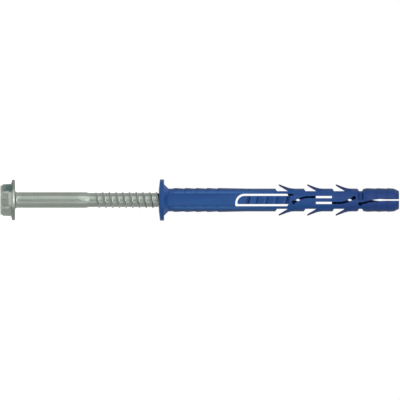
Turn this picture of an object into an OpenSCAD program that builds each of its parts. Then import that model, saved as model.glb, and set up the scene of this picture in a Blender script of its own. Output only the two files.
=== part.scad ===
// Frame fixing: a hex flange screw part-way into a slotted nylon plug.
// It stands on the screw's head, with its axis along Z and the plug's open end at the top.
// The origin is on the axis, in the plane of the collar's underside, which bears on the work.

/* [Plug collar and neck] */
// Diameter of the collar
collar_d = 18; // [16:0.5:24]
// Thickness of the collar at its rim
collar_t = 1.8; // [1.2:0.1:3]
// Rise of the collar's front face from its rim to its middle
collar_rise = 0.5; // [0:0.1:1]
// Width of the flat ring round the bore's mouth
collar_flat_w = 1; // [0.6:0.1:2]
// Width of the bevel round the collar's edges
collar_bevel = 0.2; // [0.1:0.05:0.4]
// Diameter of the conical neck where it meets the collar
neck_d = 13.9; // [13.9:0.1:14.5]
// Length of the conical neck
neck_l = 1.9; // [1:0.1:3]

/* [Plug body] */
// Diameter of the body, which is that of the drilled hole
body_d = 10; // [9.6:0.1:11]
// Length of the plug from the collar's underside to its open end
plug_l = 102.6; // [100:0.2:160]
// Distance of each side flat from the axis
flat_y = 4.3; // [4.2:0.05:4.6]
// Distance from the collar to the side flats
flat_start = 1.35; // [1:0.05:3]
// Distance by which the side flats stop short of the ends of the window's legs
flat_gap = 1; // [0.5:0.1:2]
// Lean of the flats' end nearest the collar, as a length along the axis
flat_lean = 1.3; // [0.8:0.1:1.6]
// Lean of their far end
flat_run_out = 4; // [2:0.1:5]
// Number of ratchet rings below the collar
ratchet_n = 5; // [3:1:5]
// Distance from the collar to the first ratchet ring
ratchet_start = 4.1; // [3.5:0.1:5]
// Spacing of the ratchet rings
ratchet_pitch = 4.8; // [4:0.1:4.9]
// Height of a ratchet ring over the body
ratchet_h = 0.23; // [0.1:0.01:0.4]
// Length of the level top of a ratchet ring
ratchet_land = 1.2; // [0.6:0.1:2]
// Length over which the last ratchet ring runs out
ratchet_fade = 13; // [8:0.5:14]

/* [Plug bore] */
// Gap between the screw and the bore, on the diameter
bore_gap = 0.2; // [0.1:0.05:0.4]
// Diameter of the narrow bore in the expansion zone
core_bore_d = 4.5; // [4:0.1:4.8]
// Distance that the wide bore runs on past the window's front end
bore_overlap = 3; // [1:0.5:6]
// Length of the taper between the two bores
bore_taper = 4; // [2:0.5:8]
// Width of the bevel at the bore's mouth
mouth_bevel = 0.45; // [0.2:0.05:0.6]

/* [Window and tongue] */
// Length of the expansion zone, from the window's front end to the plug's open end
zone_l = 71.5; // [71.5:0.5:75]
// Length of the window's legs
window_l = 23.2; // [22:0.1:24]
// Height of the window
window_h = 5.4; // [5.2:0.1:5.8]
// Width of the slot round the tongue
window_slot = 0.9; // [0.8:0.05:1.2]
// Radius of the window's large corner
window_r = 4; // [3:0.1:4.5]
// Radius of its small corner
window_small_r = 0.5; // [0.3:0.1:1]
// Slant at the ends of the window's legs
window_slant = 0.5; // [0.4:0.1:1]
// Reach of the one-sided end of a leg past the through part
leg_l = 2.2; // [1.5:0.1:3]
// Number of saw teeth on the tongue
saw_n = 5; // [3:1:5]
// Distance from the window's front end to the first saw tooth
saw_start = 4.9; // [4.5:0.1:6]
// Spacing of the saw teeth
saw_pitch = 4.3; // [3.6:0.1:4.4]
// Depth of a saw tooth
saw_h = 0.75; // [0.4:0.05:1]
// Length of a saw tooth
saw_l = 1.5; // [1:0.1:2]
// Length of its level floor, from which its ramp rises
saw_floor = 0.2; // [0.1:0.05:0.5]
// Depth of the first tooth, next to the tongue's free end
first_saw_h = 0.9; // [0.6:0.05:1]
// Length of that tooth's level floor
first_saw_floor = 0.8; // [0.4:0.1:1]
// Slant of the saw teeth across the tongue, in degrees
saw_angle = 15; // [0:1:20]

/* [Fins] */
// Number of pairs of fins
fin_n = 3; // [2:1:3]
// Distance from the window's front end to the first fin's notch
fin_start = 17.5; // [17:0.1:18]
// Spacing of the pairs of fins
fin_pitch = 12.45; // [12:0.05:12.6]
// Radius that the fins reach
fin_tip_r = 6.85; // [6.2:0.05:6.9]
// Depth of the notch under a fin
notch_h = 1.12; // [0.8:0.02:1.4]
// Length of the notch at its floor
notch_l = 4.7; // [4:0.1:5]
// Length of the slanted front wall of the notch
notch_slant = 0.7; // [0.4:0.1:1]
// Distance from the notch's front wall to the fin's tip
fin_set = 1.4; // [1:0.1:2]
// Distance from the notch's front wall to where the fin leaves the body
fin_l = 8.4; // [8:0.1:9]
// Radius of the bend at the root of a fin
fin_bend_r = 10; // [6:0.5:12]
// Angle that this bend turns through
fin_sweep = 20; // [15:1:22]
// Thickness of a fin at its tip
fin_t = 0.8; // [0.5:0.05:0.9]
// Width of a fin
fin_w = 5.2; // [4:0.1:5.8]
// Radius of a fin's corners, seen from above
fin_corner_r = 1.2; // [0.6:0.1:2]

/* [Curved slots] */
// Width of the curved slots
slot_w = 0.94; // [0.7:0.02:1.1]
// Height of a slot's straight stretch over the axis
slot_z = 1.27; // [1.1:0.01:1.5]
// Length of the straight stretch that front and back slots share
slot_shared_l = 7; // [5:0.5:9]
// Distance from the window's front end to the middle of that stretch
slot_mid = 38.7; // [38:0.1:39.5]
// Distance from that middle to the slot's bend
slot_straight_l = 6.9; // [6:0.1:7.5]
// Radius of the bend
slot_bend_r = 8; // [6:0.5:10]
// Angle that the slot turns through
slot_turn = 27; // [20:1:30]
// Distance from that middle to the round end of the slot
slot_end = 13.2; // [12.5:0.1:13.6]
// Diameter of the slot's round end
slot_eye_d = 1.6; // [1.2:0.05:1.8]

/* [Waist and nose] */
// Length of the nose from the middle of the waist groove to the open end
nose_l = 16.8; // [16:0.1:18]
// Width of the waist groove at its floor
waist_floor = 1.1; // [0.6:0.1:1.6]
// Width of the waist groove at the surface
waist_w = 2.7; // [2:0.1:3.2]
// Depth of the waist groove
waist_h = 1.1; // [0.6:0.05:1.4]
// Angle that each waist groove covers, in degrees
waist_angle = 128; // [110:1:130]
// Angle at which the front groove ends, turned from the top of the photo's view
waist_end_angle = 268; // [262:1:270]
// Height of the nose's ratchet rings
nose_ring_h = 0.16; // [0.1:0.01:0.25]
// Number of the nose's ratchet rings
nose_ring_n = 3; // [1:1:3]
// Spacing of the nose's ratchet rings
nose_ring_pitch = 4.6; // [4:0.1:4.8]
// Length of the level top of such a ring
nose_ring_land = 0.9; // [0.5:0.1:1.2]
// Distance from the last of them to the bevel at the open end
nose_ring_gap = 3.1; // [2.5:0.1:3.3]
// Length of the bevel at the open end
nose_bevel_l = 2.2; // [1.5:0.1:3]
// Depth of the bevel at the open end
nose_bevel_h = 1.08; // [0.6:0.02:1.2]
// Width of the slot that splits the nose
split_w = 0.86; // [0.8:0.02:1.1]
// Offset of that slot from the axis at the open end
split_z = 0.13; // [0:0.01:0.2]
// Radius of the slot's sweep
split_r = 40; // [36:1:46]
// Length of its straight end
split_straight_l = 5; // [4:0.1:6]
// Distance from the open end to its round end
split_l = 17; // [16.5:0.1:17.3]

/* [Screw] */
// Distance of the screw's flange from the collar, as supplied
screw_out = 62.8; // [50:0.2:64]
// Length of the screw under its flange
screw_l = 95; // [88:0.5:95]
// Outer diameter of the thread
screw_d = 7; // [6.6:0.1:7]
// Diameter of the plain shank
shank_d = 6.8; // [6.2:0.1:6.8]
// Length of the plain shank
shank_l = 31; // [20:0.5:40]
// Diameter at the root of the thread
core_d = 6.1; // [5.4:0.1:6.3]
// Length of the taper from the shank to the thread's root
core_taper = 1; // [0.5:0.1:2]
// Length of the pointed tip
point_l = 6; // [4:0.5:8]
// Diameter of the blunt end of the tip
point_d = 0.8; // [0.4:0.1:1.5]

/* [Screw head] */
// Diameter of the flange
flange_d = 17.9; // [16:0.1:20]
// Thickness of the flange at its rim
flange_rim_t = 1.3; // [0.8:0.1:2]
// Depth over which the rim is rounded
flange_crown = 0.35; // [0.2:0.05:0.6]
// Height of the flange's sloping top
flange_slope_h = 1.2; // [0.8:0.1:2]
// Radius under the flange
fillet_r = 0.6; // [0.3:0.1:1]
// Size of the hexagon across its flats, above the flange
hex_af = 12.75; // [12.4:0.05:14]
// Size across its flats at the top, as it tapers out of the die
hex_top_af = 12.35; // [12:0.05:12.4]
// Height of the head over the flange's underside
head_h = 6.4; // [5.6:0.1:8]
// Diameter of the flat top of the head
top_d = 10.6; // [9:0.1:12]
// Height of the bevel round the top
top_bevel_h = 1.1; // [0.6:0.1:1.6]
// Diameter over the rounded corners, below the bevel
corner_d = 14.2; // [13.6:0.1:14.4]
// Diameter over the rounded corners, above the flange
corner_foot_d = 14.6; // [14.4:0.1:14.8]

/* [Hidden] */
nylon = [0.2, 0.35, 0.6];
zinc = [0.62, 0.65, 0.63];
body_r = body_d / 2;
bore_d = screw_d + bore_gap;
// Places along the axis
zone_z = plug_l - zone_l;
waist_z = plug_l - nose_l;
flange_z = -collar_t - collar_rise - screw_out;
bore_end_z = zone_z + bore_overlap;
flat_end_z = zone_z + window_l - flat_gap;
// Overlaps that carry cuts past the surfaces they start from
over = 1;
skin = 0.2;
cut_r = body_r + 3;
// Straight pieces in an arc
arc_steps = 8;
$fn = 96;

// Points on an arc about [cx, cy], from angle a0 to angle a1
function arc(cx, cy, r, a0, a1) = [for (i = [0:arc_steps])
    let (a = a0 + (a1 - a0) * i / arc_steps) [cx + r * cos(a), cy + r * sin(a)]];

// Stands up what is drawn lying, with its axis along X and its fins up and down
module stand() rotate([0, -90, 0]) children();

// Cuts a lying outline through the front half only
module front_half() rotate([90, 0, 0]) linear_extrude(cut_r) children();

// Cuts it straight through both walls
module both_walls() translate([0, cut_r, 0]) rotate([90, 0, 0]) linear_extrude(2 * cut_r) children();

// Repeats a cut in the back wall, turned half a turn about the axis
module twofold() for (turn = [0, 180]) rotate([turn, 0, 0]) children();

// One ratchet ring of the outline: a steep face to the collar, a level top, a ramp to the next
function ring(x, h, land) = [[body_r, x], [body_r + h, x + h], [body_r + h, x + h + land]];

function ratchet() = [for (i = [0:ratchet_n - 1])
    each ring(ratchet_start + i * ratchet_pitch, ratchet_h, ratchet_land)];

// The nose's rings, counted back from the open end's bevel
function nose_rings() = [for (i = [nose_ring_n - 1:-1:0])
    each ring(plug_l - nose_bevel_l - nose_ring_gap - i * nose_ring_pitch, nose_ring_h, nose_ring_land)];

// The outline of the plug, as radius and distance along the axis
function plug_outline() = concat(
    [[0, -collar_t - collar_rise], [bore_d / 2 + collar_flat_w, -collar_t - collar_rise],
        [collar_d / 2 - collar_bevel, -collar_t], [collar_d / 2, -collar_t + collar_bevel],
        [collar_d / 2, -collar_bevel], [collar_d / 2 - collar_bevel, 0], [neck_d / 2, 0],
        [body_r, neck_l]],
    ratchet(),
    [[body_r, ratchet_start + (ratchet_n - 1) * ratchet_pitch + ratchet_fade]],
    nose_rings(),
    [[body_r, plug_l - nose_bevel_l], [body_r - nose_bevel_h, plug_l], [0, plug_l]]);

// The bore: wide for the screw to pass, then narrow where the screw spreads the plug
module bore() rotate_extrude() polygon([
    [0, -collar_t - collar_rise - over],
    [bore_d / 2 + mouth_bevel + over, -collar_t - collar_rise - over],
    [bore_d / 2, -collar_t - collar_rise + mouth_bevel],
    [bore_d / 2, bore_end_z], [core_bore_d / 2, bore_end_z + bore_taper],
    [core_bore_d / 2, plug_l + over], [0, plug_l + over]]);

// The side flats, which leave the ratchet only on the top and bottom rails
module side_flats() for (side = [0, 1]) mirror([0, side, 0])
    translate([0, 0, -body_r]) linear_extrude(body_d) polygon([
        [flat_start, flat_y], [flat_end_z, flat_y],
        [flat_end_z + flat_run_out, cut_r], [flat_start - flat_lean, cut_r]]);

// Outline of the window, or of the tongue when it is set in by the slot's width
module window_shape(inset, l) {
    half = window_h / 2 - inset;
    r = window_r - inset;
    small_r = window_small_r;
    polygon(concat([[l, -half]], arc(inset + small_r, small_r - half, small_r, 270, 180),
        arc(inset + r, half - r, r, 180, 90), [[l, half]]));
}

// Slanted ends of the window's two legs
module leg_ends() for (side = [0, 1]) mirror([0, side]) {
    outer = window_h / 2;
    inner = outer - window_slot;
    polygon([[window_l - over, outer], [window_l - window_slant, outer], [window_l, inner],
        [window_l - over, inner]]);
}

module window_cut() translate([zone_z, 0, 0]) {
    both_walls() difference() {
        window_shape(0, window_l - window_slant);
        window_shape(window_slot, window_l + over);
    }
    both_walls() leg_ends();
    // The upper leg runs on in the front wall, and the lower one in the back wall
    twofold() front_half() translate([0, window_h / 2 - window_slot / 2]) {
        translate([window_l - 2 * over, -window_slot / 2])
            square([2 * over + leg_l - window_slot / 2, window_slot]);
        translate([window_l + leg_l - window_slot / 2, 0]) circle(d = window_slot);
    }
}

// One saw tooth: a wall toward the collar, a level floor, then a ramp
module saw_cut(h, level) translate([0, -flat_y, 0]) rotate([0, saw_angle, 0])
    translate([0, 0, (skin - window_h) / 2]) linear_extrude(window_h - skin)
        polygon([[0, -over], [0, h], [level, h], [saw_l, 0], [saw_l, -over]]);

// The saw teeth across both tongues
module saw_cuts() twofold() translate([zone_z + saw_start, 0, 0]) {
    saw_cut(first_saw_h, first_saw_floor);
    for (i = [1:saw_n - 1]) translate([i * saw_pitch, 0, 0]) saw_cut(saw_h, saw_floor);
}

// The notch under a fin, cut straight across the plug
module notch_cut() rotate([90, 0, 0]) translate([0, 0, -cut_r]) linear_extrude(2 * cut_r)
    polygon([[-skin * notch_slant / notch_h, body_r + skin], [notch_slant, body_r - notch_h],
        [notch_slant + notch_l, body_r - notch_h], [fin_set + fin_t, fin_tip_r - fin_t],
        [fin_set, fin_tip_r]]);

// One fin, tangent to the body at its root and bent out toward the collar
function fin_edge() = arc(fin_l, body_r + fin_bend_r, fin_bend_r, 270, 270 - fin_sweep);

module fin() intersection() {
    rotate([90, 0, 0]) translate([0, 0, -fin_w / 2]) linear_extrude(fin_w) polygon(concat(
        [[fin_l, body_r - notch_h]], fin_edge(), [[fin_set + fin_t / 3, fin_tip_r],
            [fin_set, fin_tip_r - fin_t / 4], [fin_set + fin_t / 8, fin_tip_r - 2 * fin_t / 3],
            [fin_set + fin_t / 2, fin_tip_r - fin_t], [notch_slant + notch_l, body_r - notch_h]]));
    linear_extrude(cut_r) union() {
        translate([fin_set + fin_corner_r, -fin_w / 2]) square([fin_l, fin_w]);
        translate([fin_set, fin_corner_r - fin_w / 2]) square([fin_l, fin_w - 2 * fin_corner_r]);
        for (side = [-1, 1]) translate([fin_set + fin_corner_r, side * (fin_w / 2 - fin_corner_r)])
            circle(r = fin_corner_r);
    }
}

// Places what belongs to each fin, above and below the body
module each_fin() for (i = [0:fin_n - 1], side = [0, 1])
    mirror([0, 0, side]) translate([zone_z + fin_start + i * fin_pitch, 0, 0]) children();

// A band of even width along a run of points
function normal(p, q) = let (d = q - p) [-d[1], d[0]] / norm(d);
function side_points(line, w) = [for (i = [0:len(line) - 1])
    line[i] + w * normal(line[max(i - 1, 0)], line[min(i + 1, len(line) - 1)])];
module band(line, w) {
    left = side_points(line, w / 2);
    right = side_points(line, -w / 2);
    polygon(concat(left, [for (i = [len(right) - 1:-1:0]) right[i]]));
}

// Centre line of a curved slot, from its straight end to its eye
function bend() = arc(-slot_straight_l, slot_z - slot_bend_r, slot_bend_r, 90, 90 + slot_turn);
function slot_line() = let (b = bend(), last = b[len(b) - 1], run = slot_end + last[0])
    concat([[slot_shared_l / 2, slot_z]], b, [[-slot_end, last[1] - run * tan(slot_turn)]]);

module slot_shape() {
    line = slot_line();
    band(line, slot_w);
    translate(line[len(line) - 1]) circle(d = slot_eye_d);
}

// Two curved slots in each wall, each the other turned half a turn in the wall
module curved_slots() translate([zone_z + slot_mid, 0, 0]) twofold() front_half()
    for (turn = [0, 180]) rotate(turn) slot_shape();

// The slot that splits the nose in two jaws, from an eye in the waist to the open end
function split_sweep() = asin((split_l - split_straight_l) / split_r);
function split_line() = concat([[over, split_z]],
    arc(-split_straight_l, split_z - split_r, split_r, 90, 90 + split_sweep()));

module nose_split() translate([plug_l, 0, 0]) twofold() front_half() {
    line = split_line();
    band(line, split_w);
    translate(line[len(line) - 1]) circle(d = slot_eye_d);
}

// The waist groove, over the top of the front and under the bottom of the back
module waist_grooves() {
    mouth = waist_w / 2 + skin * (waist_w - waist_floor) / 2 / waist_h;
    for (turn = [0, 180]) translate([0, 0, waist_z])
        rotate([0, 0, waist_end_angle - waist_angle + turn]) rotate_extrude(angle = waist_angle)
            polygon([[body_r - waist_h, -waist_floor / 2], [body_r - waist_h, waist_floor / 2],
                [body_r + skin, mouth], [body_r + over, mouth], [body_r + over, -mouth],
                [body_r + skin, -mouth]]);
}

module plug() color(nylon) difference() {
    union() {
        difference() {
            rotate_extrude() polygon(plug_outline());
            waist_grooves();
            stand() {
                side_flats();
                each_fin() notch_cut();
                saw_cuts();
            }
        }
        stand() each_fin() fin();
    }
    bore();
    stand() {
        window_cut();
        curved_slots();
        nose_split();
    }
}

// The flange's crowned rim
function rim() = [for (p = arc(0, 0, 1, -90, 90))
    [flange_d / 2 - flange_crown * (1 - p[0]), flange_rim_t * (p[1] - 1) / 2]];

// Outline of the screw without its hexagon, measured from the flange's underside. Where the thread
// is rolled, it is the thread's root.
function screw_outline() = concat(
    [[0, -flange_rim_t - flange_slope_h], [hex_af / 2, -flange_rim_t - flange_slope_h]],
    rim(),
    arc(shank_d / 2 + fillet_r, fillet_r, fillet_r, 270, 180),
    [[shank_d / 2, shank_l], [core_d / 2, shank_l + core_taper], [core_d / 2, screw_l - point_l],
        [point_d / 2, screw_l], [0, screw_l]]);

// The hexagon, with its corners rounded and its top bevelled
module hexagon() intersection() {
    translate([0, 0, -head_h])
        cylinder(h = head_h - flange_rim_t, d1 = hex_top_af / cos(30), d2 = hex_af / cos(30), $fn = 6);
    rotate_extrude() polygon([[0, -head_h], [top_d / 2, -head_h], [corner_d / 2, top_bevel_h - head_h],
        [corner_foot_d / 2, -flange_rim_t - flange_slope_h], [corner_foot_d / 2, 0], [0, 0]]);
}

module flange_screw() color(zinc) translate([0, 0, flange_z]) {
    rotate_extrude() polygon(screw_outline());
    hexagon();
}

plug();
flange_screw();
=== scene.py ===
# A frame fixing: a zinc-plated flange screw part-way into a blue nylon plug.
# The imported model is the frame, in metres. It stands on the screw's head, with its axis along Z.
import math

import bmesh
import bpy
from mathutils import Matrix, Vector


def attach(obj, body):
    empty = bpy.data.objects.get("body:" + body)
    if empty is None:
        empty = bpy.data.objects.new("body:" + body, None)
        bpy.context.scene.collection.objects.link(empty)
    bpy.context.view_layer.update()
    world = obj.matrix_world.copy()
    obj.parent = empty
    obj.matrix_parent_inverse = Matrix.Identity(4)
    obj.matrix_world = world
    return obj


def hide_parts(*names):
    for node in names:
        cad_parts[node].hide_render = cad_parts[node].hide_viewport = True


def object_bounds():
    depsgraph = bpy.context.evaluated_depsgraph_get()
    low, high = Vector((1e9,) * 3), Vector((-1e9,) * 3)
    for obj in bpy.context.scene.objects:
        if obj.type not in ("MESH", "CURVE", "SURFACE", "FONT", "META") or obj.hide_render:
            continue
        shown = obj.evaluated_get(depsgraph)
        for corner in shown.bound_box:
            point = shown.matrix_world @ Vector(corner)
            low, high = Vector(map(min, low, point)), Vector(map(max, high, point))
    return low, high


print("loading the frame")
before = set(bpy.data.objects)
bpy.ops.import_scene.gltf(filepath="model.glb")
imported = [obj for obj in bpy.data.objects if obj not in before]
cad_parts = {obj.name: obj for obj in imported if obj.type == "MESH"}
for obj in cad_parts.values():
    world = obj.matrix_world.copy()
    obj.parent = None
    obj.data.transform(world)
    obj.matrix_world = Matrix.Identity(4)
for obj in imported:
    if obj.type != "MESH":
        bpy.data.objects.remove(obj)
cadLow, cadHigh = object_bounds()
scene = bpy.context.scene
mm = 0.001
floorHeight = cadLow.z
# vertices this near are one: in a finished piece, in a mesh that is still built, and on a cut
weldGap, joinGap, cutGap = 0.0005 * mm, 0.001 * mm, 0.00001 * mm


# Small helpers

def toLinear(hexColour):
    # an sRGB colour written as hex, in the linear values that sockets and lamps take
    channels = [int(hexColour[i:i + 2], 16) / 255 for i in (1, 3, 5)]
    return [c / 12.92 if c <= 0.04045 else ((c + 0.055) / 1.055) ** 2.4 for c in channels] + [1]


def smoothMin(a, b, softness):
    # the smaller of two sizes, with a soft passage from one to the other
    share = max(softness - abs(a - b), 0) / softness
    return min(a, b) - share * share * softness / 4


def smoothMax(a, b, softness):
    return -smoothMin(-a, -b, softness)


def clamp(value, low, high):
    return max(low, min(high, value))


def addNode(tree, kind, props=None, values=None, links=None):
    # adds a node, sets its properties and sockets, and links what it takes from other nodes
    node = tree.nodes.new(kind)
    for name, value in (props or {}).items():
        setattr(node, name, value)
    for socket, value in (values or {}).items():
        node.inputs[socket].default_value = value
    for socket, source in (links or {}).items():
        tree.links.new(source, node.inputs[socket])
    return node


def maskWhere(tree, *limits):
    # a mask from values and their spans: each takes it from 0 at its span's start to 1 at its end
    mask = None
    for value, (start, end) in limits:
        part = addNode(tree, "ShaderNodeMapRange", {}, {"From Min": start, "From Max": end},
                       {"Value": value}).outputs["Result"]
        mask = part if mask is None else addNode(tree, "ShaderNodeMath", {"operation": "MULTIPLY"},
                                                 {}, {0: mask, 1: part}).outputs[0]
    return mask


def newMaterial(name):
    # an empty material, with its output and the object's own coordinates
    material = bpy.data.materials.new(name)
    material.use_nodes = True
    tree = material.node_tree
    tree.nodes.clear()
    output = addNode(tree, "ShaderNodeOutputMaterial")
    place = addNode(tree, "ShaderNodeTexCoord").outputs["Object"]
    return material, tree, output.inputs["Surface"], place


def makePiece(name, bm, material, sharpAngle=30):
    # closes the mesh, turns its faces outward and smooths all but its sharp edges
    bmesh.ops.remove_doubles(bm, verts=bm.verts, dist=weldGap)
    bmesh.ops.recalc_face_normals(bm, faces=bm.faces)
    mesh = bpy.data.meshes.new(name)
    bm.to_mesh(mesh)
    bm.free()
    mesh.materials.append(material)
    mesh.shade_smooth()
    mesh.set_sharp_from_angle(angle=math.radians(sharpAngle))
    piece = bpy.data.objects.new(name, mesh)
    scene.collection.objects.link(piece)
    return piece


# Materials

print("making the materials")

materialValues = {
    "noiseSpan": (0.3, 0.7),      # the levels between which nearly all of a noise lies
    "openSamples": 8,             # rays that feel out how open a place is
}

zincValues = {
    "colour": "#a5ada6",
    "shade": "#959d95",
    "toneSpan": (0.45, 0.95),     # from shade to colour over the sum of streaks and clouds
    "hollowShade": "#3f4740",          # painted shade under the flange and along the thread
    "recessDepth": 1.0 * mm,
    "recessOpen": (0.85, 0.3),    # from none to full, by how open the place is
    "recessSpan": (-66.3 * mm, -65.5 * mm),       # the heights over which it sets in, off the head
    "roughness": (0.21, 0.31),
    "streakWidth": 0.45 * mm,     # drawing marks of the wire, which run along the screw
    "streakStretch": 0.02,
    "streakNoise": {"Detail": 3, "Roughness": 0.6},
    "cloudSize": 3.5 * mm,        # cloudy patches in the plate
    "cloudShare": 0.4,
    "grainSize": 0.25 * mm,       # crystals of the plate, drawn far coarser so that they show
    "streakDepth": 0.004 * mm,
    "grainDepth": 0.004 * mm,
    "forgedSize": 2.2 * mm,       # dents and scale marks of the forged head
    "forgedNoise": {"Detail": 3, "Roughness": 0.6, "Distortion": 0.5},
    "forgedDepth": 0.2 * mm,
    "forgedTop": -67.0 * mm,      # height at which the hexagon ends and the flange begins
    "forgedFade": 0.6 * mm,
    # patches on the plate, all painted light or shade, the corners partly wear as well: colour, the
    # way they face, the turns from there at which they start and are full, as cosines, and the
    # heights over which they come and go; where no way is given, they start and are full at two
    # radii
    "patches": {
        # painted shade: the rim, darkened all round
        "rim": ("#878f88", None, (0, mm),
                ((-66.5 * mm, -66.2 * mm), (-64.9 * mm, -65.1 * mm))),
        # and a painted highlight on its front, which faces -Y
        "rimFront": ("#a9b1a9", (0, -1, 0), (0.92, 0.99),
                     ((-66.4 * mm, -66.1 * mm), (-64.9 * mm, -65.1 * mm))),
        # a painted highlight on the front of the flange's slope, standing in for the bright ground
        # it mirrors
        "slope": ("#cfd6cd", (-0.1, -0.995, 0), (0.85, 0.94),
                  ((-67.95 * mm, -67.6 * mm), (-66.1 * mm, -66.4 * mm))),
        # painted shade, tinted green, on one face of the hexagon
        "paintedFaceShade": ("#5c756f", (-0.866, -0.5, 0), (0.84, 0.88),
                 ((-71.3 * mm, -68.6 * mm), (-65.9 * mm, -66.5 * mm))),
        # the hexagon's corners, rubbed bright, and lighter still as a painted highlight of their
        # rounding
        "corners": ("#b9c0b8", None, (6.8 * mm, 6.93 * mm),
                    ((-71.2 * mm, -70.6 * mm), (-67.4 * mm, -68.0 * mm))),
        # painted shade at the foot of the fillet under the flange
        "foot": ("#7d857e", None, (0, mm),
                 ((-65.14 * mm, -65.06 * mm), (-64.5 * mm, -64.75 * mm))),
    },
}


def zincPlate():
    # bright zinc over cold-forged steel: a slightly green grey that mirrors softly, with streaks
    # along the shank from drawing and rolling, and a fine crystalline grain
    values = zincValues
    material, tree, surface, place = newMaterial("bright zinc plate")
    stretched = addNode(tree, "ShaderNodeMapping", {}, {"Scale": (1, 1, values["streakStretch"])},
                        {"Vector": place}).outputs["Vector"]
    streaks = addNode(tree, "ShaderNodeTexNoise", {},
                      {"Scale": 1 / values["streakWidth"], **values["streakNoise"]},
                      {"Vector": stretched}).outputs["Fac"]
    clouds = addNode(tree, "ShaderNodeTexNoise", {}, {"Scale": 1 / values["cloudSize"]},
                     {"Vector": place}).outputs["Fac"]
    grain = addNode(tree, "ShaderNodeTexNoise", {}, {"Scale": 1 / values["grainSize"]},
                    {"Vector": place}).outputs["Fac"]
    both = addNode(tree, "ShaderNodeMath", {"operation": "MULTIPLY_ADD"},
                   {1: values["cloudShare"]}, {0: clouds, 2: streaks}).outputs[0]
    tone = maskWhere(tree, (both, values["toneSpan"]))
    plated = addNode(tree, "ShaderNodeMix", {"data_type": "RGBA"},
                     {"A": toLinear(values["shade"]), "B": toLinear(values["colour"])},
                     {"Factor": tone}).outputs["Result"]
    height = addNode(tree, "ShaderNodeSeparateXYZ", {}, {}, {"Vector": place}).outputs["Z"]
    flat = addNode(tree, "ShaderNodeVectorMath", {"operation": "MULTIPLY"}, {1: (1, 1, 0)},
                   {0: place}).outputs["Vector"]
    outward = addNode(tree, "ShaderNodeVectorMath", {"operation": "NORMALIZE"}, {},
                      {0: flat}).outputs["Vector"]
    colour = plated
    # patches of painted light and shade, and the corners' wear
    for patchColour, side, reach, heights in values["patches"].values():
        if side:
            measure = addNode(tree, "ShaderNodeVectorMath", {"operation": "DOT_PRODUCT"},
                              {1: side}, {0: outward})
        else:
            measure = addNode(tree, "ShaderNodeVectorMath", {"operation": "LENGTH"}, {}, {0: flat})
        share = maskWhere(tree, (measure.outputs["Value"], reach),
                          *((height, span) for span in heights))
        colour = addNode(tree, "ShaderNodeMix", {"data_type": "RGBA"},
                         {"B": toLinear(patchColour)},
                         {"Factor": share, "A": colour}).outputs["Result"]
    # painted shade: the plate is darkened where the place is closed in, off the head
    openness = addNode(tree, "ShaderNodeAmbientOcclusion",
                       {"samples": materialValues["openSamples"], "only_local": True},
                       {"Distance": values["recessDepth"]}).outputs["AO"]
    hollowShadeShare = maskWhere(tree, (height, values["recessSpan"]), (openness, values["recessOpen"]))
    colour = addNode(tree, "ShaderNodeMix", {"data_type": "RGBA"},
                     {"B": toLinear(values["hollowShade"])},
                     {"Factor": hollowShadeShare, "A": colour}).outputs["Result"]
    low, high = values["roughness"]
    noiseLow, noiseHigh = materialValues["noiseSpan"]
    roughness = addNode(tree, "ShaderNodeMapRange", {},
                        {"From Min": noiseLow, "From Max": noiseHigh,
                         "To Min": low, "To Max": high},
                        {"Value": streaks}).outputs["Result"]
    drawn = addNode(tree, "ShaderNodeBump", {}, {"Distance": values["streakDepth"]},
                    {"Height": streaks}).outputs["Normal"]
    grained = addNode(tree, "ShaderNodeBump", {}, {"Distance": values["grainDepth"]},
                      {"Height": grain, "Normal": drawn}).outputs["Normal"]
    forgedTop = values["forgedTop"]
    onHead = maskWhere(tree, (height, (forgedTop, forgedTop - values["forgedFade"])))
    dents = addNode(tree, "ShaderNodeTexNoise", {},
                    {"Scale": 1 / values["forgedSize"], **values["forgedNoise"]},
                    {"Vector": place}).outputs["Fac"]
    normal = addNode(tree, "ShaderNodeBump", {}, {"Distance": values["forgedDepth"]},
                     {"Height": dents, "Strength": onHead, "Normal": grained}).outputs["Normal"]
    metal = addNode(tree, "ShaderNodeBsdfPrincipled", {}, {"Metallic": 1},
                    {"Base Color": colour, "Roughness": roughness, "Normal": normal})
    tree.links.new(metal.outputs["BSDF"], surface)
    return material


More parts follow.
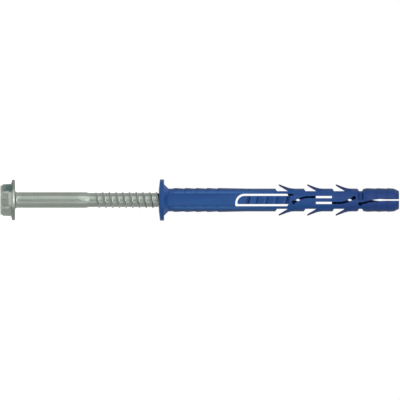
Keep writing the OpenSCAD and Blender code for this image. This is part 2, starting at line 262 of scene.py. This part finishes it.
nylonValues = {
    "colour": "#18579b",
    "shade": "#1a4c94",
    "hollowShade": "#0f2c5c",          # painted shade in grooves and under the teeth
    "recessDepth": 1.8 * mm,
    "recessOpen": (0.9, 0.35),
    "fin": "#152f60",             # the fins, coloured darker
    "finReach": (4.6 * mm, 5.4 * mm),
    "finSpan": (38 * mm, 42 * mm),
    "paintedSheen": "#4379bb",          # painted sheen along the edges of the side flats
    "paintedShadeLine": "#12396f",            # and a faint line of painted shade beside them
    "side": "#133162",            # painted shade along the sides facing +X and -X
    # distance of each of these lines from the middle of a flat, its half width, its strength and
    # the heights over which it comes and goes
    "lines": {
        "paintedSheen": (3.35 * mm, 0.8 * mm, 0.75, ((2 * mm, 4 * mm), (50 * mm, 30 * mm))),
        "paintedShadeLine": (2.45 * mm, 0.55 * mm, 0.5, ((2 * mm, 4 * mm), (50 * mm, 30 * mm))),
        "side": (4.9 * mm, 1.0 * mm, 0.55, ((2 * mm, 4 * mm), (104 * mm, 103 * mm))),
    },
    "nosePaintedShade": "#184085",      # painted shade, darker towards the open end
    "noseSpan": (45 * mm, 92 * mm),
    "end": "#14366f",             # and painted shade, darkest, on the very end
    "endSpan": (101.4 * mm, 102.4 * mm),
    "roughness": (0.38, 0.48),
    "ior": 1.53,
    "gloss": 0.28,                # the grain dulls its mirror
    "flowSize": 4 * mm,           # faint flow marks of the melt, drawn out along the mould
    "flowStretch": 0.2,
    "flowNoise": {"Detail": 4, "Distortion": 0.4},
    "grainSize": 0.3 * mm,        # grain of the spark-eroded mould, drawn coarser so that it shows
    "grainNoise": {"Detail": 3},
    "grainDepth": 0.006 * mm,
    "glow": 0.06,                 # light that seeps through the thin fins and edges
    "glowRadius": (0.3, 0.6, 1.2),
}


def blueNylon():
    # dyed polyamide as it leaves the mould: satin, faintly streaked by the flow, and a little
    # translucent
    values = nylonValues
    material, tree, surface, place = newMaterial("blue moulded nylon")
    stretched = addNode(tree, "ShaderNodeMapping", {}, {"Scale": (1, 1, values["flowStretch"])},
                        {"Vector": place}).outputs["Vector"]
    flow = addNode(tree, "ShaderNodeTexNoise", {},
                   {"Scale": 1 / values["flowSize"], **values["flowNoise"]},
                   {"Vector": stretched}).outputs["Fac"]
    grain = addNode(tree, "ShaderNodeTexNoise", {},
                    {"Scale": 1 / values["grainSize"], **values["grainNoise"]},
                    {"Vector": place}).outputs["Fac"]
    tone = maskWhere(tree, (flow, materialValues["noiseSpan"]))
    dyed = addNode(tree, "ShaderNodeMix", {"data_type": "RGBA"},
                   {"A": toLinear(values["shade"]), "B": toLinear(values["colour"])},
                   {"Factor": tone}).outputs["Result"]
    apart = addNode(tree, "ShaderNodeSeparateXYZ", {}, {}, {"Vector": place}).outputs
    across, height = apart["X"], apart["Z"]
    fromMiddle = addNode(tree, "ShaderNodeMath", {"operation": "ABSOLUTE"}, {},
                         {0: across}).outputs[0]
    # painted shade towards the open end
    layers = [("nosePaintedShade", maskWhere(tree, (height, values["noseSpan"])))]
    # lines along the flats and sides: painted sheen, and painted shade
    for name, (distance, width, strength, heights) in values["lines"].items():
        offset = addNode(tree, "ShaderNodeMath", {"operation": "SUBTRACT"}, {1: distance},
                         {0: fromMiddle}).outputs[0]
        offset = addNode(tree, "ShaderNodeMath", {"operation": "ABSOLUTE"}, {},
                         {0: offset}).outputs[0]
        share = addNode(tree, "ShaderNodeMapRange", {"interpolation_type": "SMOOTHSTEP"},
                        {"From Min": width, "From Max": 0.0, "To Max": strength},
                        {"Value": offset}).outputs["Result"]
        atHeight = maskWhere(tree, *((height, span) for span in heights))
        share = addNode(tree, "ShaderNodeMath", {"operation": "MULTIPLY"}, {},
                        {0: share, 1: atHeight}).outputs[0]
        layers.append((name, share))
    # painted shade: the nylon is darkened where the place is closed in
    openness = addNode(tree, "ShaderNodeAmbientOcclusion",
                       {"samples": materialValues["openSamples"], "only_local": True},
                       {"Distance": values["recessDepth"]}).outputs["AO"]
    layers += [
        # painted shade on the very end
        ("end", maskWhere(tree, (height, values["endSpan"]))),
        ("fin", maskWhere(tree, (fromMiddle, values["finReach"]), (height, values["finSpan"]))),
        ("hollowShade", maskWhere(tree, (openness, values["recessOpen"]))),
    ]
    colour = dyed
    for layer, share in layers:
        colour = addNode(tree, "ShaderNodeMix", {"data_type": "RGBA"},
                         {"B": toLinear(values[layer])},
                         {"Factor": share, "A": colour}).outputs["Result"]
    low, high = values["roughness"]
    noiseLow, noiseHigh = materialValues["noiseSpan"]
    roughness = addNode(tree, "ShaderNodeMapRange", {},
                        {"From Min": noiseLow, "From Max": noiseHigh,
                         "To Min": low, "To Max": high},
                        {"Value": grain}).outputs["Result"]
    normal = addNode(tree, "ShaderNodeBump", {}, {"Distance": values["grainDepth"]},
                     {"Height": grain}).outputs["Normal"]
    plastic = addNode(tree, "ShaderNodeBsdfPrincipled", {},
                      {"IOR": values["ior"], "Specular IOR Level": values["gloss"],
                       "Subsurface Weight": values["glow"],
                       "Subsurface Radius": values["glowRadius"], "Subsurface Scale": mm},
                      {"Base Color": colour, "Roughness": roughness, "Normal": normal})
    tree.links.new(plastic.outputs["BSDF"], surface)
    return material


zinc = zincPlate()
nylon = blueNylon()


# The screw: one mesh of rings, from the top of its head along the shank to its threaded point.
# Heights are in millimetres from the flange's underside, and grow towards the point.

print("building the screw")

screwValues = {
    "facets": 192,
    "headH": 6.4,
    "acrossFlats": 12.75,
    "acrossTop": 12.35,           # the forged head tapers out of its die
    "cornerTopR": 6.9,            # its corners are rounded
    "cornerFootR": 7.15,
    "cornerSoft": 0.5,
    "topR": 5.65,
    "bevelH": 1.5,
    "bevelSlope": 1.1,            # how much wider the bevel gets per millimetre of its height
    "edgeSoft": 0.25,
    "slopeTopH": 2.7,             # where the flange's hollow slope starts from the hexagon's flats
    "slopeHollow": 3.0,           # the power by which it steepens towards the rim
    "footSoft": 0.5,
    "rimT": 1.33,
    "flangeR": 8.95,
    # the rounded rim: share of its thickness, and how far it lies inside its widest circle
    "rimSection": [(0, 0.26), (0.03, 0.17), (0.08, 0.09), (0.16, 0.03), (0.28, 0), (0.4, 0.013),
                   (0.55, 0.042), (0.7, 0.077), (0.85, 0.117), (0.94, 0.155), (1, 0.26)],
    "filletR": 1.0,
    "shankR": 3.4,
    "shankL": 31.0,
    "taperL": 1.4,
    "coreR": 3.05,
    "joinL": 0.3,
    "length": 95.0,
    "pointL": 6.0,
    "pointR": 0.4,
    "sharpAngle": 38,             # edges that turn more than this, in degrees, are not smoothed
    "capR": 1.2,                  # the disk in the middle of the flat top
    "capInset": 0.4,              # how far inside the bevel the top's rings end
    "softTopH": 0.04,             # how far under the top the bevel's rings start
    "closeRun": 0.4,              # how far beyond the bevel and the slope their rings stay close
    "shankStartH": 3,             # where the shank's evenly spaced rings start
    "ringCounts": {"cap": 3, "bevel": 14, "side": 3, "slope": 14, "fillet": 6, "shank": 7},
    "thread": {
        "pitch": 2.93,
        "start": 34.3,
        "startAngle": 50,         # where the thread begins, in degrees from +X about +Z
        "end": 94.2,
        "fade": 0.6,              # turns over which it grows in and dies out
        "steps": 48,
        # half of one turn's section: distance from the crest along the axis, and height over the
        # core
        "section": [(0.11, 0.45), (0.2, 0.28), (0.3, 0.11), (0.46, 0.02), (0.75, 0.0)],
    },
}


def coreRadius(height):
    # the thread's core, which tapers to the blunt point
    values = screwValues
    run = clamp((height - values["length"] + values["pointL"]) / values["pointL"], 0, 1)
    return values["coreR"] + (values["pointR"] - values["coreR"]) * run


def headRadius(height, angle):
    # the hexagon with its rounded corners and bevelled top, running out into the flange's slope
    values = screwValues
    fromFlat = math.degrees(angle) % 60 - 30      # degrees from the middle of the nearest flat
    fromTop = height + values["headH"]
    share = fromTop / (values["headH"] - values["rimT"])
    across = values["acrossTop"] + (values["acrossFlats"] - values["acrossTop"]) * share
    flat = across / 2 / math.cos(math.radians(fromFlat))
    corner = values["cornerTopR"] + (values["cornerFootR"] - values["cornerTopR"]) * share
    bevel = values["topR"] + fromTop * values["bevelSlope"]
    side = smoothMin(flat, corner, values["cornerSoft"])
    side = smoothMin(side, bevel, values["edgeSoft"])
    slopeFoot = values["acrossFlats"] / 2
    slopeShare = max(height + values["slopeTopH"], 0) / (values["slopeTopH"] - values["rimT"])
    slopeRise = values["flangeR"] - values["rimSection"][0][1] - slopeFoot
    slope = slopeFoot + slopeRise * slopeShare ** values["slopeHollow"]
    return smoothMax(side, slope, values["footSoft"])


def growRing(bm, ring, height, radiusAt, base):
    # extrudes an open ring of edges to a height, where radiusAt gives the radius at each angle
    grown = bmesh.ops.extrude_edge_only(bm, edges=ring)["geom"]
    verts = {part for part in grown if isinstance(part, bmesh.types.BMVert)}
    for vert in verts:
        angle = math.atan2(vert.co.y, vert.co.x)
        radius = radiusAt(angle) * mm
        vert.co = (radius * math.cos(angle), radius * math.sin(angle), base + height * mm)
    return [part for part in grown
            if isinstance(part, bmesh.types.BMEdge) and verts.issuperset(part.verts)]


def spread(low, high, count):
    # count steps from one value to another, with both ends
    return [low + (high - low) * i / count for i in range(count + 1)]


def screwRings():
    # the height and radius of each ring, from the head's top to where the thread's core begins
    values = screwValues
    counts = values["ringCounts"]
    top = -values["headH"]
    closeRun = values["closeRun"]
    capEnd = values["topR"] - values["capInset"]
    rings = [(top, lambda angle, r=r: r) for r in spread(values["capR"], capEnd, counts["cap"])]
    bevelEnd = top + values["bevelH"] + closeRun
    sideHeights = spread(top + values["softTopH"], bevelEnd, counts["bevel"])
    sideHeights += spread(bevelEnd, -values["slopeTopH"] - closeRun, counts["side"])[1:]
    sideHeights += spread(sideHeights[-1], -values["rimT"], counts["slope"])[1:]
    rings += [(h, lambda angle, h=h: headRadius(h, angle)) for h in sideHeights]
    for share, inset in values["rimSection"]:
        radius = values["flangeR"] - inset
        rings.append((values["rimT"] * (share - 1), lambda angle, r=radius: r))
    # the fillet, a quarter circle from the flange's underside to the shank
    fillet = values["filletR"]
    for turn in spread(270, 180, counts["fillet"]):
        height = fillet + fillet * math.sin(math.radians(turn))
        radius = values["shankR"] + fillet + fillet * math.cos(math.radians(turn))
        rings.append((height, lambda angle, r=radius: r))
    shankHeights = spread(values["shankStartH"], values["shankL"], counts["shank"])
    rings += [(h, lambda angle: values["shankR"]) for h in shankHeights]
    coreStart = values["shankL"] + values["taperL"]
    rings += [(h, lambda angle: values["coreR"]) for h in (coreStart, coreStart + values["joinL"])]
    return rings


def threadedPart(bm, base):
    # one turn's section, spun up the helix, then faded at both ends and tapered to the point
    values = screwValues["thread"]
    pitch = values["pitch"]
    startAngle = math.radians(values["startAngle"])
    half = [(-pitch / 2, 0)] + [(-x, h) for x, h in reversed(values["section"])]
    section = half + [(-x, h) for x, h in reversed(half)]
    # two turns more than the core is long, which the cuts below take off again
    turns = math.ceil((screwValues["length"] - values["start"]) / pitch) + 2
    verts = []
    for x, h in section:
        radius = (screwValues["coreR"] + h) * mm
        height = base + (values["start"] - pitch + x) * mm
        place = (radius * math.cos(startAngle), radius * math.sin(startAngle), height)
        verts.append(bm.verts.new(place))
    edges = [bm.edges.new(pair) for pair in zip(verts, verts[1:])]
    bmesh.ops.spin(bm, geom=verts + edges, cent=(0, 0, 0), axis=(0, 0, 1), angle=math.tau * turns,
                   dvec=(0, 0, pitch * mm / values["steps"]), steps=values["steps"] * turns,
                   use_merge=False, use_duplicate=False)
    bmesh.ops.remove_doubles(bm, verts=bm.verts, dist=joinGap)
    length = (values["end"] - values["start"]) / pitch
    for vert in bm.verts:
        height = (vert.co.z - base) / mm
        angle = math.atan2(vert.co.y, vert.co.x)
        part = ((angle - startAngle) % math.tau) / math.tau
        turn = round((height - values["start"]) / pitch - part) + part
        rise = clamp(min(turn, length - turn) / values["fade"], 0, 1)
        crest = math.hypot(vert.co.x, vert.co.y) / mm - screwValues["coreR"]
        radius = (coreRadius(height) + crest * rise) * mm
        vert.co = (radius * math.cos(angle), radius * math.sin(angle), vert.co.z)
    join = base + (screwValues["shankL"] + screwValues["taperL"] + 2 * screwValues["joinL"]) * mm
    tip = base + screwValues["length"] * mm
    rings = []
    for height, side in ((join, "clear_inner"), (tip, "clear_outer")):
        cut = bmesh.ops.bisect_plane(bm, geom=bm.verts[:] + bm.edges[:] + bm.faces[:],
                                     dist=cutGap, plane_co=(0, 0, height), plane_no=(0, 0, 1),
                                     **{side: True})
        rings.append([part for part in cut["geom_cut"] if isinstance(part, bmesh.types.BMEdge)])
    return rings


def buildScrew():
    base = floorHeight + screwValues["headH"] * mm
    bm = bmesh.new()
    joinRing, tipRing = threadedPart(bm, base)
    bmesh.ops.edgeloop_fill(bm, edges=tipRing)
    rings = screwRings()
    firstHeight, firstRadius = rings[0]
    cap = bmesh.ops.create_circle(bm, cap_ends=True, segments=screwValues["facets"],
                                  radius=firstRadius(0) * mm,
                                  matrix=Matrix.Translation((0, 0, base + firstHeight * mm)))
    ring = list({edge for vert in cap["verts"] for edge in vert.link_edges})
    for height, radiusAt in rings[1:]:
        ring = growRing(bm, ring, height, radiusAt, base)
    bmesh.ops.bridge_loops(bm, edges=ring + joinRing)
    return makePiece("hex_flange_screw", bm, zinc, screwValues["sharpAngle"])


screwPiece = buildScrew()
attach(screwPiece, "screw")
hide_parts("flange_screw")


# The plug: the solid's own shape, with its edges softened as they leave the mould

print("building the plug")

plugValues = {
    "edgeRound": 0.06 * mm,
    "edgeSteps": 2,
    "roundOver": 34,              # only edges that turn more than this, in degrees, are rounded
    "flatMerge": 0.8,             # faces that turn less than this, in degrees, become one
}


def buildPlug():
    bm = bmesh.new()
    bm.from_mesh(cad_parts["plug"].data)
    bmesh.ops.remove_doubles(bm, verts=bm.verts, dist=joinGap)
    bmesh.ops.dissolve_limit(bm, angle_limit=math.radians(plugValues["flatMerge"]),
                             verts=bm.verts, edges=bm.edges)
    piece = makePiece("moulded_plug", bm, nylon, plugValues["roundOver"])
    rounding = piece.modifiers.new("soft edges", "BEVEL")
    rounding.width = plugValues["edgeRound"]
    rounding.segments = plugValues["edgeSteps"]
    rounding.limit_method = "ANGLE"
    rounding.angle_limit = math.radians(plugValues["roundOver"])
    rounding.harden_normals = True
    return piece


plugPiece = buildPlug()
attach(plugPiece, "plug")
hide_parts("plug")


# The floor, the light and the camera

print("setting the stage")

stageValues = {
    "floorSize": 30.0,
    "floorColour": "#c8c9c6",
    "floorGlow": 0.85,            # what the camera sees on top of the lit floor
    # the share of that glow which metal shows, close to the object and farther off, and between
    # which distances from the axis it changes
    "floorMirror": (0.85, 0.35),
    "floorNear": (7 * mm, 12 * mm),
    "roomMirror": (0.85, 0.72),   # the grey room as metal shows it, on the -X and the +X side
    # the room's light on matt surfaces, on its dark and its light side, and the span in which one
    # turns into the other, as a direction's share of lightSide
    "roomLight": (0.06, 0.55),
    "roomReach": (-0.8, 0.8),
    "lightSide": (-0.45, -0.89, 0.0),
    "backLight": 0.5,             # what a window behind the object adds on matt surfaces
    "backSpan": (0.35, 0.9),      # where that comes in, as a direction's share of Y
    # what is dimmer to metal behind the object and around the camera: where that starts and ends,
    # as a direction's share of Y, and how much of the room's grey is left there
    "dimParts": [((0.8, 0.97), 0.55), ((-0.75, -0.97), 0.73)],
}


def seenDirectly(tree, mirrorShare=None):
    # 1 for what the camera sees, straight on or through gaps, the share given for what metal
    # mirrors, and 0 for other light
    path = addNode(tree, "ShaderNodeLightPath").outputs
    seen = addNode(tree, "ShaderNodeMath", {"operation": "MAXIMUM"}, {},
                   {0: path["Is Camera Ray"], 1: path["Is Transmission Ray"]}).outputs[0]
    if mirrorShare is None:
        return seen
    mirrored = addNode(tree, "ShaderNodeMath", {"operation": "MULTIPLY"}, {},
                       {0: path["Is Glossy Ray"], 1: mirrorShare}).outputs[0]
    return addNode(tree, "ShaderNodeMath", {"operation": "MAXIMUM"}, {},
                   {0: seen, 1: mirrored}).outputs[0]


def whiteFloor():
    # matt white board, lifted to the white of the photo's ground where it is seen, with its shadow
    values = stageValues
    material, tree, surface, place = newMaterial("matt white board")
    board = addNode(tree, "ShaderNodeBsdfDiffuse", {}, {"Color": toLinear(values["floorColour"])})
    flat = addNode(tree, "ShaderNodeVectorMath", {"operation": "MULTIPLY"}, {1: (1, 1, 0)},
                   {0: place}).outputs["Vector"]
    away = addNode(tree, "ShaderNodeVectorMath", {"operation": "LENGTH"}, {},
                   {0: flat}).outputs["Value"]
    nearStart, nearEnd = values["floorNear"]
    nearShare, farShare = values["floorMirror"]
    share = addNode(tree, "ShaderNodeMapRange", {"interpolation_type": "SMOOTHSTEP"},
                    {"From Min": nearStart, "From Max": nearEnd,
                     "To Min": nearShare, "To Max": farShare},
                    {"Value": away}).outputs["Result"]
    level = addNode(tree, "ShaderNodeMath", {"operation": "MULTIPLY"}, {1: values["floorGlow"]},
                    {0: seenDirectly(tree, share)}).outputs[0]
    glow = addNode(tree, "ShaderNodeEmission", {}, {}, {"Strength": level})
    both = addNode(tree, "ShaderNodeAddShader", {}, {}, {0: board.outputs[0], 1: glow.outputs[0]})
    tree.links.new(both.outputs[0], surface)
    return material


def buildFloor():
    bm = bmesh.new()
    bmesh.ops.create_grid(bm, x_segments=1, y_segments=1, size=stageValues["floorSize"] / 2,
                          matrix=Matrix.Translation((0, 0, floorHeight)))
    return makePiece("floor", bm, whiteFloor())


floorPiece = buildFloor()
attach(floorPiece, "screw")      # the fixing stands on its screw, so the floor goes with the head


def buildRoom():
    # white where it is seen, a grey room in metal, and light from one side on matt surfaces
    values = stageValues
    world = bpy.data.worlds.new("white room")
    scene.world = world
    world.use_nodes = True
    tree = world.node_tree
    tree.nodes.clear()
    direction = addNode(tree, "ShaderNodeTexCoord").outputs["Generated"]
    apart = addNode(tree, "ShaderNodeSeparateXYZ", {}, {}, {"Vector": direction}).outputs
    facing = addNode(tree, "ShaderNodeVectorMath", {"operation": "DOT_PRODUCT"},
                     {1: values["lightSide"]}, {0: direction}).outputs["Value"]
    reachStart, reachEnd = values["roomReach"]
    darkLevel, lightLevel = values["roomLight"]
    mattLight = addNode(tree, "ShaderNodeMapRange", {},
                        {"From Min": reachStart, "From Max": reachEnd,
                         "To Min": darkLevel, "To Max": lightLevel},
                        {"Value": facing}).outputs["Result"]
    behind = maskWhere(tree, (apart["Y"], values["backSpan"]))
    mattLight = addNode(tree, "ShaderNodeMath", {"operation": "MULTIPLY_ADD"},
                        {1: values["backLight"]}, {0: behind, 2: mattLight}).outputs[0]
    mirrorLeft, mirrorRight = values["roomMirror"]
    mirrorLight = addNode(tree, "ShaderNodeMapRange", {},
                          {"From Min": -1.0, "To Min": mirrorLeft, "To Max": mirrorRight},
                          {"Value": apart["X"]}).outputs["Result"]
    for (start, end), level in values["dimParts"]:
        dimmed = addNode(tree, "ShaderNodeMapRange", {"interpolation_type": "SMOOTHSTEP"},
                         {"From Min": start, "From Max": end, "To Min": 1.0, "To Max": level},
                         {"Value": apart["Y"]}).outputs["Result"]
        mirrorLight = addNode(tree, "ShaderNodeMath", {"operation": "MULTIPLY"}, {},
                              {0: mirrorLight, 1: dimmed}).outputs[0]
    mattRay = addNode(tree, "ShaderNodeLightPath").outputs["Is Diffuse Ray"]
    unseen = addNode(tree, "ShaderNodeMix", {}, {},
                     {"Factor": mattRay, "A": mirrorLight, "B": mattLight}).outputs["Result"]
    strength = addNode(tree, "ShaderNodeMapRange", {}, {"To Max": 1.0},
                       {"Value": seenDirectly(tree), "To Min": unseen}).outputs["Result"]
    room = addNode(tree, "ShaderNodeBackground", {}, {"Color": (1, 1, 1, 1)},
                   {"Strength": strength})
    addNode(tree, "ShaderNodeOutputWorld", {}, {}, {"Surface": room.outputs[0]})


buildRoom()

lampValues = {
    # name: where it hangs, its size and its power
    "key": ((-0.58, -0.75, 0.1), 0.8, 1.55),
    "fill": ((0.5, -0.75, 0.05), 0.5, 0.37),
    "top": ((0.0, -0.75, 0.4), 0.6, 2.0),
    "back": ((0.0, 0.55, 0.9), 1.0, 1.8),
}


def addLamp(name, place, size, power):
    # a soft box that faces the middle of the object
    lamp = bpy.data.lights.new(name, "AREA")
    lamp.shape = "DISK"
    lamp.size = size
    lamp.energy = power
    lampObject = bpy.data.objects.new(name, lamp)
    lampObject.location = place
    middle = (cadLow + cadHigh) / 2
    aim = middle - lampObject.location
    lampObject.rotation_euler = aim.to_track_quat("-Z", "Y").to_euler()
    scene.collection.objects.link(lampObject)


for lampName, (lampPlace, lampSize, lampPower) in lampValues.items():
    addLamp(lampName, lampPlace, lampSize, lampPower)

cameraValues = {
    "distance": 8.0,
    "frameWidth": 174.7 * mm,     # what the picture spans at the object
    "centre": 15.7 * mm,          # height of the picture's middle on the axis
    "sensor": 36.0,
}


def addCamera():
    # looks along +Y and lies on its side, so that the standing fixing lies across the picture
    values = cameraValues
    camera = bpy.data.cameras.new("camera")
    camera.sensor_width = values["sensor"]
    camera.lens = values["sensor"] * values["distance"] / values["frameWidth"]
    cameraObject = bpy.data.objects.new("camera", camera)
    right, up, back = Vector((0, 0, 1)), Vector((-1, 0, 0)), Vector((0, -1, 0))
    turned = Matrix((right, up, back)).transposed().to_4x4()
    standpoint = Matrix.Translation((0, -values["distance"], values["centre"]))
    cameraObject.matrix_world = standpoint @ turned
    scene.collection.objects.link(cameraObject)
    scene.camera = cameraObject


addCamera()
scene.view_settings.view_transform = "Standard"
